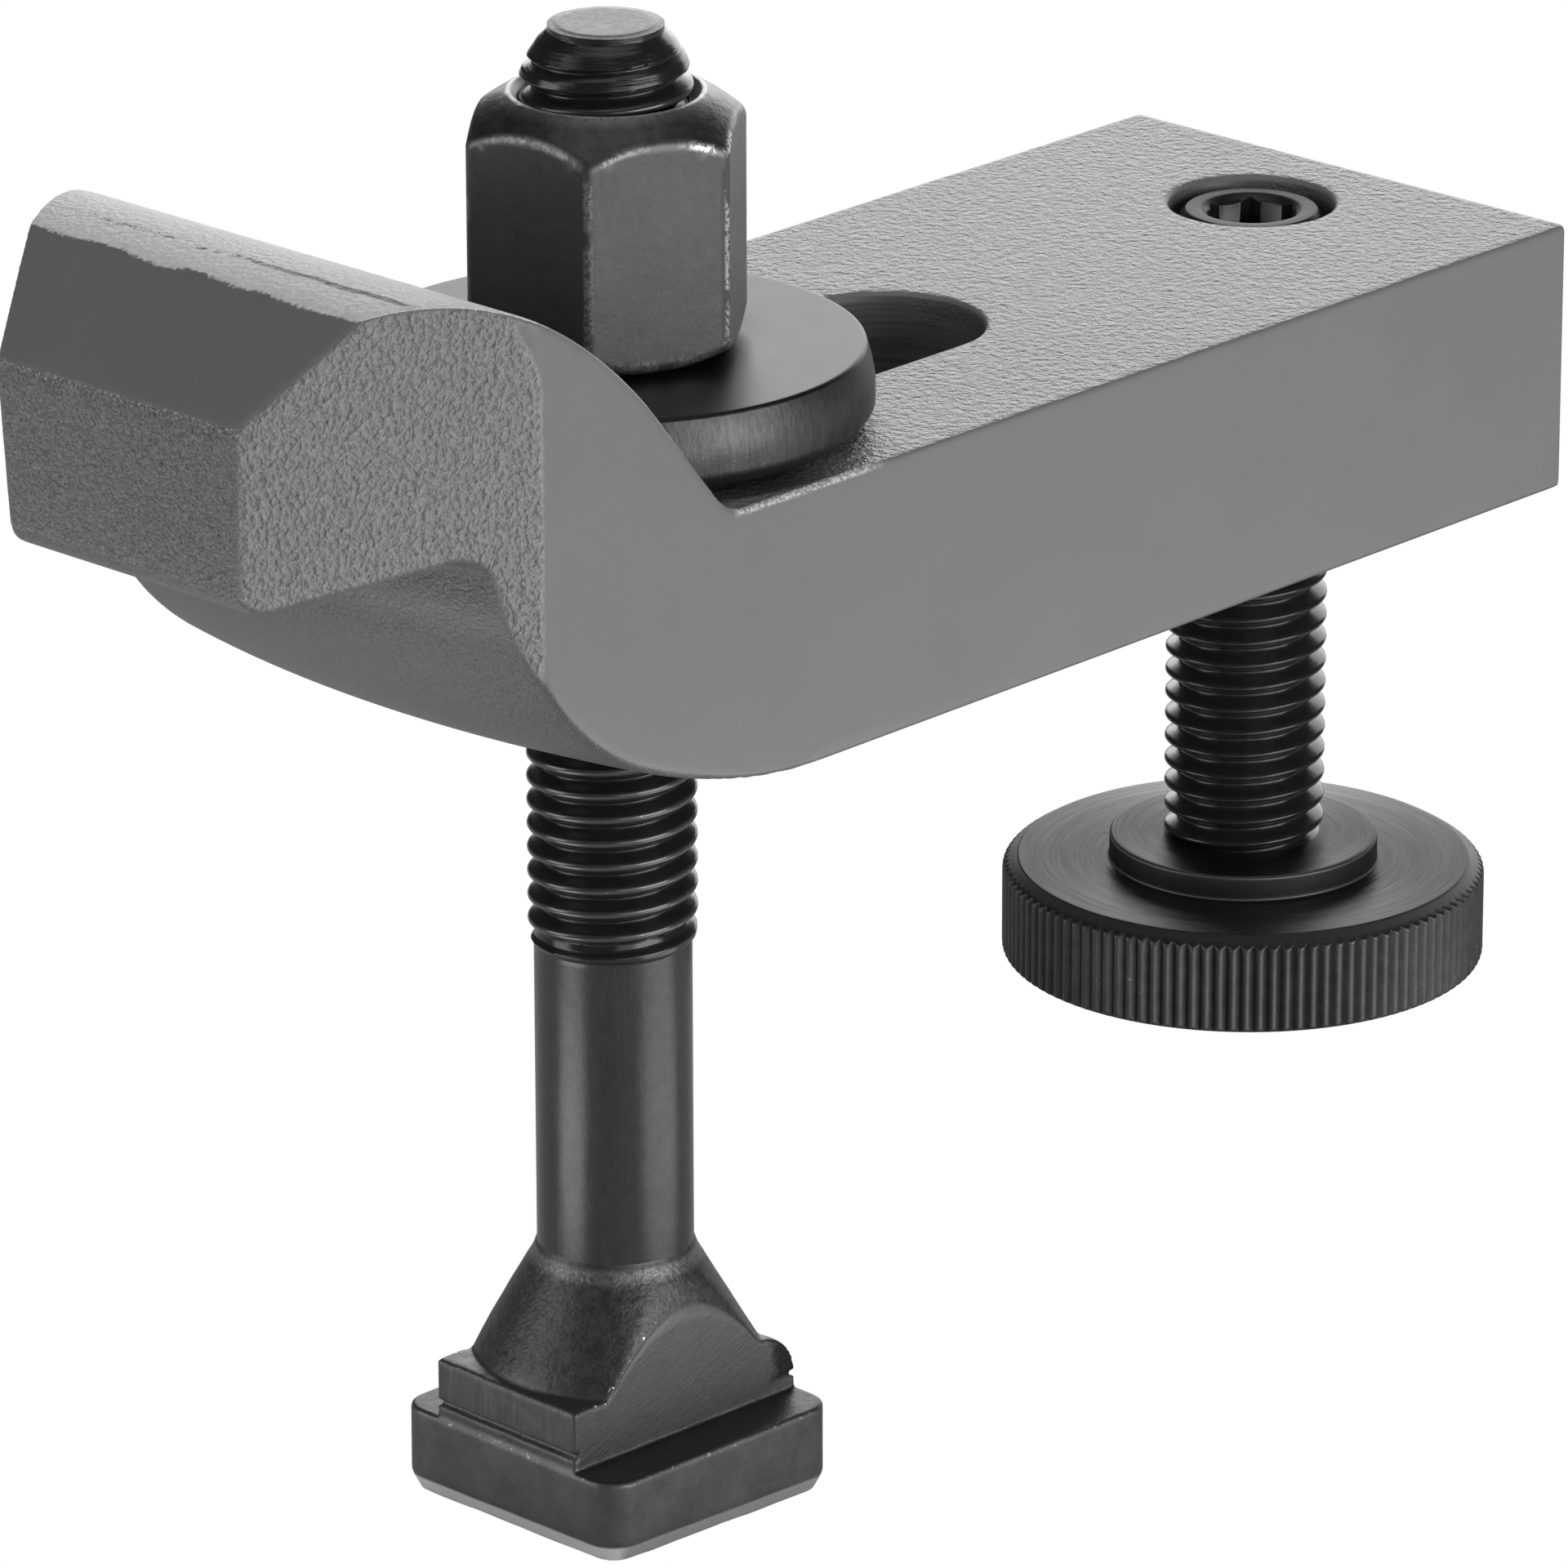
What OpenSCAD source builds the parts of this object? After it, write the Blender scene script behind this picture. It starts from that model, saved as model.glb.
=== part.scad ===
// Cranked strap clamp with T-slot bolt, tall nut, washer and support screw.
// Millimetres, +Z up. Origin: on the bolt's axis, in the plane of the machine
// table that the support foot stands on. The nose points to -Y, the bar to +Y.

/* [Strap] */
// Height of the strap's flat top face above the table
lift = 58.1; // [54:0.1:66]
// Width of the bar across its flat sides
strap_w = 41.2; // [38:0.1:44]
// Thickness of the bar
strap_t = 20; // [19:0.5:21]
// Distance from the bolt's axis to the rear end of the bar
rear_len = 78.4; // [76:0.2:90]
// Distance from the bolt's axis to the front face of the nose
nose_len = 46.1; // [45:0.1:47]
// Half width of the nose at its front face
nose_half_w = 10.9; // [9:0.1:13]
// Width of the slot that the bolt passes through
slot_w = 14; // [13.5:0.1:15]
// Centre of the slot's round rear end, behind the bolt's axis
slot_rear = 28; // [24:1:32]
// Radius of the round pocket that lets the washer in beside the crank
pocket_r = 21; // [20.8:0.1:22]

/* [Bolt] */
// Outside diameter of the threads
thread_d = 11.9; // [11.7:0.05:11.95]
// Height of the bolt's upper end above the strap's top face
bolt_above = 28; // [24:0.5:34]
// Diameter of the plain shank
shank_d = 11.1; // [10:0.1:11.2]
// Side of the square head
head_a = 22; // [21:0.5:23]
// Width of the milled neck that slides in the table's slot
neck_w = 14; // [13.5:0.1:14]
// Depth of the head's upper face below the table
head_depth = 15.5; // [14.5:0.1:17]
// Height of the head
head_h = 6; // [5:0.05:8]

/* [Nut and washer] */
// Width of the nut across its flats
nut_af = 18; // [17.5:0.1:19]
// Height of the nut
nut_h = 18; // [16:0.5:19]
// Radius of the nut's domed end
dome_r = 14.5; // [13:0.5:18]
// Outside diameter of the washer
washer_d = 36.6; // [34:0.2:37]
// Thickness of the washer
washer_h = 5.4; // [4:0.1:6]
// Bore of the washer
washer_bore = 13.5; // [13:0.1:14]

/* [Support screw] */
// Distance from the bolt's axis to the support screw's axis
support_y = 67.4; // [60:0.1:68]
// Diameter of the knurled foot over its ribs
foot_d = 35.8; // [30:0.2:38]
// Thickness of the foot
foot_h = 7.3; // [6:0.1:9]
// Diameter of the collar above the foot
collar_d = 19.9; // [16:0.1:22]
// Height of the collar
collar_h = 1.9; // [1:0.1:3]
// Width across the flats of the hexagon socket
socket_af = 6; // [5:1:6]
// Depth of the hexagon socket
socket_depth = 7; // [5:0.5:8]

/* [Hidden] */
$fn = 96;

e = 0.01;
pitch = 1.75;
thread_r = thread_d / 2;
bore_gap = 0.05;             // radial running clearance on threads
head_turn = -2.3;            // the head stands a little askew in the slot

// The underside of the crank is bowed in plan: it is turned about an upright
// axis far behind the nose. bow_y is that axis, bow_r the radius that belongs
// to u = 0 of its profile.
bow_y = 59.6;
bow_r = 61.97;

// side profile, u towards the rear, v up from the strap's top face
under_r = 41.1;              // long sweep of the underside
under_c = [-1.0, -strap_t + under_r];
front_r = 21;                // front of the crank
sweep_a = 24.1;              // where the two sweeps meet
front_c = [under_c[0] - (under_r - front_r) * sin(sweep_a),
           under_c[1] - (under_r - front_r) * cos(sweep_a)];
meet_u = under_c[0] - under_r * sin(sweep_a);
nose_v = 1.6;                // root of the nose's underside
sole_v = -0.5;               // its lowest line, at the clamping edge
sole_r = 2;                  // rounding in front of that line
root_r = 2.0;                // fillet under the nose
root_c = [front_c[0] - sqrt(pow(front_r + root_r, 2) - pow(front_c[1] - nose_v + root_r, 2)),
          nose_v - root_r];

slope_v = 12.4;              // top of the upright front face
slope_a = 41.5;              // slope of the face above it
crest_r = 14.9;              // rounding of the crest
crest_c = [-34.96, 4.7];
crest_a = 27;
back_r = 37.3;               // long rounding behind the crest
back_p = [crest_c[0] + crest_r * sin(crest_a), crest_c[1] + crest_r * cos(crest_a)];
back_c = [back_p[0] - back_r * sin(crest_a), back_p[1] - back_r * cos(crest_a)];
flank_a = 51.2;              // slope of the flank down to the bar
flank_p = [back_c[0] + back_r * sin(flank_a), back_c[1] + back_r * cos(flank_a)];
foot_u = flank_p[0] + flank_p[1] / tan(flank_a);
heel_r = 3.5;                // fillet at the foot of the flank
heel_t = heel_r * tan(flank_a / 2);

side_y = -27.6;              // where the nose begins to narrow
side_a = atan((strap_w / 2 - nose_half_w) / (side_y + nose_len));
side_draft = 0.8;
mouth = 0.3;                 // broken edge of the slot

collar_top = foot_h + collar_h;
screw_top = lift - 0.56;
washer_top = lift + washer_h;
nut_top = washer_top + nut_h;
bolt_top = lift + bolt_above;

module box_uv(a, b) { translate(a) square(b - a); }

// body of the bar and the bowed underside of the crank
module under_profile() {
    box_uv([under_c[0], -strap_t], [bow_r, -1]);
    intersection() {
        translate(under_c) circle(under_r, $fn = 200);
        box_uv([meet_u, -strap_t - 1], [under_c[0], -1]);
    }
    intersection() {
        translate(front_c) circle(front_r, $fn = 200);
        box_uv([front_c[0] - front_r - 1, -strap_t - 1], [meet_u, nose_v]);
    }
    // fillet under the nose
    difference() {
        box_uv([root_c[0], root_c[1]], [front_c[0] - front_r + 2, nose_v]);
        translate(root_c) circle(root_r, $fn = 64);
    }
}

// nose, crest, flank and the bar's flat top, the same over the whole width
module top_profile() {
    // nose and its sole, falling slightly to the clamping edge
    polygon([[-nose_len, 0.5], [-nose_len, slope_v],
             [crest_c[0] - 3.44, slope_v + (nose_len + crest_c[0] - 3.44) * tan(slope_a)],
             [crest_c[0] - 3.44, nose_v]]);
    polygon([[-33.2, nose_v + 1], [-33.2, nose_v - 0.1], [-nose_len + 2, sole_v],
             [-nose_len, sole_v], [-nose_len, nose_v + 1]]);
    box_uv([crest_c[0] - 3.45, nose_v], [back_p[0], crest_c[1] + 1]);
    // crest
    intersection() {
        translate(crest_c) circle(crest_r, $fn = 200);
        box_uv([crest_c[0] - 3.45, crest_c[1]], [back_p[0], crest_c[1] + crest_r + 1]);
    }
    // long rounding and flank
    intersection() {
        translate(back_c) circle(back_r, $fn = 240);
        box_uv([back_p[0], -1], [flank_p[0], back_p[1] + 1]);
    }
    polygon([[flank_p[0], -3], flank_p, [foot_u, 0], [foot_u, -3]]);
    difference() {
        polygon([[foot_u - heel_t * cos(flank_a), -2],
                 [foot_u - heel_t * cos(flank_a), heel_t * sin(flank_a)],
                 [foot_u + heel_t, 0], [foot_u + heel_t, -2]]);
        translate([foot_u + heel_t, heel_r]) circle(heel_r + 0.01, $fn = 64);
    }
    box_uv([back_p[0], -3], [rear_len + 1, 0]);
}

module nose_corner() {
    // round lower edge of the front face
    difference() {
        box_uv([-nose_len - 1, -12], [-nose_len + sole_r, sole_v + sole_r]);
        translate([-nose_len + sole_r, sole_v + sole_r]) circle(sole_r, $fn = 64);
    }
}

module plan_outline() {
    w = strap_w / 2;
    difference() {
        polygon([[-w, -nose_len - 4], [w, -nose_len - 4], [w, rear_len], [-w, rear_len]]);
        for (s = [-1, 1]) translate([s * (w - 0.3), rear_len - 0.3])
            difference() {
                translate([s > 0 ? 0 : -2, 0]) square([2, 2]);
                circle(0.3, $fn = 48);
            }
    }
}

module slot_outline(r) {
    translate([-r, -4]) square([2 * r, slot_rear + 4]);
    translate([0, -4]) circle(r, $fn = 96);
    translate([0, slot_rear]) circle(r, $fn = 96);
}

// broken edge round the slot's mouth
module slot_mouth() {
    r = slot_w / 2;
    for (y = [-4, slot_rear]) translate([0, y, -mouth])
        cylinder(h = 2 * mouth, r1 = r, r2 = r + 2 * mouth);
    translate([0, -4, 0]) rotate([-90, 0, 0]) linear_extrude(height = slot_rear + 4)
        polygon([[-r, mouth], [r, mouth], [r + 2 * mouth, -mouth], [-r - 2 * mouth, -mouth]]);
}

module strap() {
    color([0.47, 0.48, 0.49])
    translate([0, 0, lift])
    difference() {
        intersection() {
            union() {
                translate([0, bow_y, 0])
                    rotate_extrude($fn = 240)
                        translate([bow_r, 0]) mirror([1, 0]) under_profile();
                rotate([90, 0, 90])
                    linear_extrude(height = strap_w + 4, center = true) top_profile();
            }
            translate([0, 0, -30]) linear_extrude(height = 60) plan_outline();
        }
        rotate([90, 0, 90])
            linear_extrude(height = strap_w + 10, center = true) nose_corner();
        // sides of the nose, narrowing to the front, with a draft that is larger on the far side
        for (m = [0, 1]) mirror([m, 0, 0])
            translate([strap_w / 2 + 0.28 * m, side_y, 5]) rotate([0, 0, -side_a])
                rotate([0, side_draft + 3.3 * m, 0]) translate([0, -60, -40]) cube([40, 62, 80]);
        // round pocket with draft for the washer
        cylinder(h = 24, r1 = pocket_r, r2 = pocket_r + 24 * tan(15));
        // slot
        translate([0, 0, -strap_t - 5])
            linear_extrude(height = strap_t + 10) slot_outline(slot_w / 2);
        slot_mouth();
        // tapped hole with countersinks, threads left plain
        translate([0, support_y, -strap_t - 5])
            cylinder(h = strap_t + 10, r = thread_r + bore_gap);
        translate([0, support_y, -0.5])
            cylinder(h = 1, r1 = thread_r - 0.1, r2 = thread_r + 0.9);
        translate([0, support_y, -strap_t - 0.5])
            cylinder(h = 1, r1 = thread_r + 0.9, r2 = thread_r - 0.1);
    }
}

module washer() {
    r = washer_d / 2;
    color([0.3, 0.3, 0.31])
    translate([0, 0, lift])
    rotate_extrude($fn = 180)
        polygon([[washer_bore / 2, 0.4], [washer_bore / 2 + 0.4, 0],
                 [r - 1.2, 0], [r - 0.15, 1.1], [r, 1.7], [r, washer_h - 2.6],
                 [r - 0.25, washer_h - 1.3], [r - 0.7, washer_h],
                 [washer_bore / 2 + 0.4, washer_h], [washer_bore / 2, washer_h - 0.4]]);
}

module nut() {
    rc = nut_af / sqrt(3);
    color([0.16, 0.16, 0.17])
    translate([0, 0, washer_top])
    rotate([0, 0, 6.5])
    difference() {
        intersection() {
            cylinder(h = nut_h, r = rc, $fn = 6);
            // domed upper end
            translate([0, 0, nut_h - sqrt(dome_r * dome_r - 6.6 * 6.6)])
                sphere(dome_r, $fn = 160);
            // bottom chamfer
            cylinder(h = 24, r1 = nut_af / 2 - 0.95, r2 = nut_af / 2 - 0.95 + 24 * tan(60));
        }
        translate([0, 0, -1]) cylinder(h = nut_h + 2, r = thread_r + bore_gap);
        translate([0, 0, nut_h - 0.65]) cylinder(h = 1.65, r1 = thread_r, r2 = thread_r + 1.65);
        translate([0, 0, -0.4]) cylinder(h = 1, r1 = thread_r + 1, r2 = thread_r);
    }
}

module t_bolt() {
    sr = shank_d / 2;
    zh = -head_depth;
    zc = lift - 61.2;            // where the shank begins to widen
    neck_top = -11.1;
    color([0.16, 0.16, 0.17])
    rotate([0, 0, head_turn]) {
        // thread, run-out, shank and the cone below it, milled flat on both sides
        intersection() {
            rotate_extrude($fn = 120)
                polygon([[0, zh + 3.1], [sr + (zc - zh - 3.1) * tan(30), zh + 3.1], [sr, zc],
                         [sr, lift - 38.2], [thread_r, lift - 37.6],
                         [thread_r, bolt_top - 3.1], [thread_r - 2.45, bolt_top], [0, bolt_top]]);
            translate([-neck_w / 2, -head_a / 2 + 0.2, zh])
                cube([neck_w, head_a - 0.4, bolt_top - zh + 5]);
        }
        // neck block, a shallow groove under its two ends, and the foot it stands on
        for (b = [[0.2, zh + 1.2, neck_top], [0.6, zh + 0.6, zh + 1.4], [0.1, zh - 0.1, zh + 0.85]])
            translate([-neck_w / 2, -head_a / 2 + b[0], b[1]])
                cube([neck_w, head_a - 2 * b[0], b[2] - b[1]]);
        // square head, round corners, lower edges chamfered
        intersection() {
            translate([0, 0, zh - head_h]) linear_extrude(height = head_h) head_plan(2.5);
            translate([0, 0, zh - head_h]) rotate([90, 0, 0])
                linear_extrude(height = 40, center = true) head_side();
            translate([0, 0, zh - head_h]) rotate([90, 0, 90])
                linear_extrude(height = 40, center = true) head_side();
        }
    }
}

module head_plan(r) {
    a = head_a / 2;
    square([2 * a, 2 * (a - r)], center = true);
    square([2 * (a - r), 2 * a], center = true);
    for (i = [-1, 1], j = [-1, 1]) translate([i * (a - r), j * (a - r)]) circle(r, $fn = 48);
}

module head_side() {
    a = head_a / 2;
    polygon([[-a + 0.65, 0], [a - 0.65, 0], [a + 0.1, 1.1], [a + 0.1, head_h + 1],
             [-a - 0.1, head_h + 1], [-a - 0.1, 1.1]]);
}

module support_screw() {
    color([0.2, 0.2, 0.21])
    translate([0, support_y, 0])
    difference() {
        rotate_extrude($fn = 180)
            polygon([[0, 0], [foot_d / 2 - 0.4, 0], [foot_d / 2, 0.4],
                     [foot_d / 2, foot_h - 0.7], [foot_d / 2 - 1.25, foot_h],
                     [collar_d / 2 + 0.35, foot_h], [collar_d / 2, foot_h + 0.35],
                     [collar_d / 2, collar_top - 0.2], [collar_d / 2 - 0.2, collar_top],
                     [thread_r - 1, collar_top], [thread_r - 1, collar_top + 1.2],
                     [thread_r, collar_top + 2.2], [thread_r, screw_top - 1.15],
                     [thread_r - 1.15, screw_top], [0, screw_top]]);
        translate([0, 0, screw_top - socket_depth]) rotate([0, 0, 12])
            cylinder(h = socket_depth + 1, r = socket_af / sqrt(3), $fn = 6);
        translate([0, 0, screw_top - 0.35])
            cylinder(h = 1.35, r1 = 3.25, r2 = 4.6);
    }
}

strap();
washer();
nut();
t_bolt();
support_screw();
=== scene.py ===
"""Looks of the cranked strap clamp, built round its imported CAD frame. Metres, +Z up."""
import math

import bpy
import numpy as np
import openvdb as vdb
from mathutils import Matrix, Vector


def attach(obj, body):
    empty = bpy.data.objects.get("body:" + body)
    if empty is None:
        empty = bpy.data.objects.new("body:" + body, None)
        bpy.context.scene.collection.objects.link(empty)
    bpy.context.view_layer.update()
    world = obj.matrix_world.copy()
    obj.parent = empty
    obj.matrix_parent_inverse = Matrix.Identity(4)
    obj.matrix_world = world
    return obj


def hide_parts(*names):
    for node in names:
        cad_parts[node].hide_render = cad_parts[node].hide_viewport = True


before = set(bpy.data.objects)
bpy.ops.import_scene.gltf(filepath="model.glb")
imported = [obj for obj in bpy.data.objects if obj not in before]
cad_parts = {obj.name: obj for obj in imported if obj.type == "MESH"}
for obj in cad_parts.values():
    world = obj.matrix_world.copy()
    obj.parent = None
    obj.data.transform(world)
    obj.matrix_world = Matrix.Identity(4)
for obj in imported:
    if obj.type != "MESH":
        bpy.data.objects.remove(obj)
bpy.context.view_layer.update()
MM = 0.001

# dimensions shared with the CAD part, millimetres
LIFT = 58.1
PITCH = 1.75
THREAD_R = 5.95
WASHER_TOP = 63.5
NUT_TOP = 81.5
BOLT_TOP = 86.1
SUPPORT_Y = 67.4
SCREW_TOP = 57.54
FOOT_H = 7.3
COLLAR_TOP = 9.2
HEAD_TURN = math.radians(-2.3)
NUT_TURN = math.radians(6.5)
HEX_TURN = math.radians(12.0)


# ---------------------------------------------------------------- helpers
def smooth01(x, lo, hi):
    t = np.clip((x - lo) / (hi - lo), 0.0, 1.0)
    return t * t * (3 - 2 * t)


def value_noise(p, size, seed):
    """Smooth seeded noise in [-1, 1] at points p (n, 3), cell size in mm."""
    rng = np.random.default_rng(seed)
    n = 32
    tab = rng.uniform(-1, 1, (n, n, n)).astype(np.float32)
    q = np.asarray(p, np.float32) / size
    i = np.floor(q).astype(np.int64)
    f = (q - i).astype(np.float32)
    f = f * f * (3 - 2 * f)
    out = np.zeros(q.shape[:-1], np.float32)
    for dx in (0, 1):
        wx = f[..., 0] if dx else 1 - f[..., 0]
        for dy in (0, 1):
            wy = f[..., 1] if dy else 1 - f[..., 1]
            for dz in (0, 1):
                wz = f[..., 2] if dz else 1 - f[..., 2]
                out += wx * wy * wz * tab[(i[..., 0] + dx) % n, (i[..., 1] + dy) % n, (i[..., 2] + dz) % n]
    return out


def fractal(p, size, seed, octaves=3, gain=0.5):
    out, amp, tot = 0.0, 1.0, 0.0
    for k in range(octaves):
        out = out + amp * value_noise(p, size / 2 ** k, seed + k)
        tot += amp
        amp *= gain
    return out / tot


def mesh_object(name, verts_mm, quads=None, tris=None, mats=(), sharp=None, normals=None):
    quads = np.zeros((0, 4), np.int64) if quads is None else np.asarray(quads, np.int64)
    tris = np.zeros((0, 3), np.int64) if tris is None else np.asarray(tris, np.int64)
    me = bpy.data.meshes.new(name)
    v = (np.asarray(verts_mm, float) * MM).astype(np.float32)
    me.vertices.add(len(v))
    me.vertices.foreach_set("co", v.ravel())
    loops = np.concatenate([quads.ravel(), tris.ravel()]).astype(np.int32)
    me.loops.add(len(loops))
    me.loops.foreach_set("vertex_index", loops)
    starts = np.concatenate([np.arange(len(quads)) * 4, len(quads) * 4 + np.arange(len(tris)) * 3]).astype(np.int32)
    me.polygons.add(len(starts))
    me.polygons.foreach_set("loop_start", starts)
    me.update(calc_edges=True)
    me.validate()
    me.shade_smooth()
    if sharp is not None:
        me.set_sharp_from_angle(angle=math.radians(sharp))
    if normals is not None and len(normals) == len(me.vertices):
        me.normals_split_custom_set_from_vertices([tuple(n) for n in normals])
    for m in mats:
        me.materials.append(m)
    ob = bpy.data.objects.new(name, me)
    bpy.context.scene.collection.objects.link(ob)
    return ob


def lathe(R, Z, centre=(0.0, 0.0), closed=False, phase=0.0):
    """Surface of rings. R and Z are (rows,) or (rows, seg); rows run from the lower cap outward, up, and in."""
    R, Z = np.asarray(R, float), np.asarray(Z, float)
    seg = R.shape[1] if R.ndim == 2 else Z.shape[1]
    rows = R.shape[0]
    if R.ndim == 1:
        R = np.repeat(R[:, None], seg, 1)
    if Z.ndim == 1:
        Z = np.repeat(Z[:, None], seg, 1)
    phi = phase + np.arange(seg) * 2 * np.pi / seg
    v = np.stack([centre[0] + R * np.cos(phi), centre[1] + R * np.sin(phi), Z], -1).reshape(-1, 3)
    a = np.arange(seg)
    b = (a + 1) % seg
    quads = []
    last = rows if closed else rows - 1
    for r in range(last):
        r2 = (r + 1) % rows
        quads.append(np.stack([r * seg + a, r * seg + b, r2 * seg + b, r2 * seg + a], -1))
    quads = np.concatenate(quads)
    tris = []
    if not closed:
        n = len(v)
        v = np.vstack([v, [centre[0], centre[1], Z[0].mean()], [centre[0], centre[1], Z[-1].mean()]])
        tris = np.concatenate([np.stack([np.full(seg, n), b, a], -1),
                               np.stack([np.full(seg, n + 1), (rows - 1) * seg + a, (rows - 1) * seg + b], -1)])
    return v, quads, (tris if len(tris) else None)


def field_mesh(f, lo, vox, adaptivity=0.0):
    """Closed surface of the zero set of a sampled field, negative inside, with its normals."""
    f = np.ascontiguousarray(f, np.float32)
    g = vdb.FloatGrid(float(f.max()))
    g.transform = vdb.createLinearTransform(vox)
    g.copyFromArray(f)
    if adaptivity > 0:
        p, t, q = g.convertToPolygons(0.0, adaptivity)
    else:
        p, q = g.convertToQuads(0.0)
        t = np.zeros((0, 3), np.int64)
    p = np.asarray(p, np.float64)
    t, q = np.asarray(t, np.int64), np.asarray(q, np.int64)
    # normals from the field itself
    c = p / vox
    i = np.clip(np.floor(c).astype(np.int64), 1, np.array(f.shape) - 3)
    w = c - i
    n = np.zeros_like(p)
    for k in range(3):
        e = np.zeros(3, np.int64)
        e[k] = 1
        for dx in (0, 1):
            for dy in (0, 1):
                for dz in (0, 1):
                    j = i + np.array([dx, dy, dz])
                    wt = ((w[:, 0] if dx else 1 - w[:, 0]) * (w[:, 1] if dy else 1 - w[:, 1])
                          * (w[:, 2] if dz else 1 - w[:, 2]))
                    hi = j + e
                    lw = j - e
                    n[:, k] += wt * (f[hi[:, 0], hi[:, 1], hi[:, 2]] - f[lw[:, 0], lw[:, 1], lw[:, 2]])
    n /= np.maximum(np.linalg.norm(n, axis=1, keepdims=True), 1e-9)
    p = p + np.asarray(lo, float)
    # faces must look outwards
    fa = q[:2000] if len(q) else t[:2000]
    fn = np.cross(p[fa[:, 1]] - p[fa[:, 0]], p[fa[:, 2]] - p[fa[:, 0]])
    if (fn * n[fa[:, 0]]).sum() < 0:
        q, t = q[:, ::-1], t[:, ::-1]
    return p, q, t, n


def grid_points(lo, hi, vox):
    ax = [np.arange(l, h + vox * 0.5, vox) for l, h in zip(lo, hi)]
    return np.meshgrid(*ax, indexing="ij"), ax


def round_max(r, *fs):
    """Intersection of fields with its edges rounded to radius r."""
    inner = fs[0]
    for f in fs[1:]:
        inner = np.maximum(inner, f)
    inner = np.minimum(inner + r, 0.0)
    s = 0.0
    for f in fs:
        s = s + np.maximum(f + r, 0.0) ** 2
    return inner + np.sqrt(s) - r


def round_min(r, a, b):
    """Union of two fields with its inner corner filled to radius r."""
    return -round_max(r, -a, -b)


def blur(a, sigma_vox):
    k = int(math.ceil(3 * sigma_vox))
    x = np.arange(-k, k + 1)
    w = np.exp(-0.5 * (x / sigma_vox) ** 2)
    w /= w.sum()
    for axis in range(3):
        pad = [(0, 0)] * 3
        pad[axis] = (k, k)
        b = np.pad(a, pad, mode="edge")
        out = np.zeros_like(a)
        for j, wj in zip(x, w):
            s = [slice(None)] * 3
            s[axis] = slice(k + j, k + j + a.shape[axis])
            out += np.float32(wj) * b[tuple(s)]
        a = out
    return a


def thread_drop(t, rc=0.36, rr=0.16):
    """Depth below the crest at phase t, in pitches from a crest: round crest, 60 degree flanks, round root."""
    x = np.abs(((t + 0.5) % 1.0) - 0.5) * PITCH
    half = PITCH / 2
    xc, xr = rc * math.cos(math.radians(30)), rr * math.cos(math.radians(30))
    t60 = math.tan(math.radians(60))
    full = rc / 2 + (half - xc - xr) * t60 + rr / 2
    crest = rc - np.sqrt(np.maximum(rc * rc - x * x, 0))
    flank = rc / 2 + (x - xc) * t60
    root = full - (rr - np.sqrt(np.maximum(rr * rr - (half - x) ** 2, 0)))
    return np.where(x < xc, crest, np.where(x < half - xr, flank, root))


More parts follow.
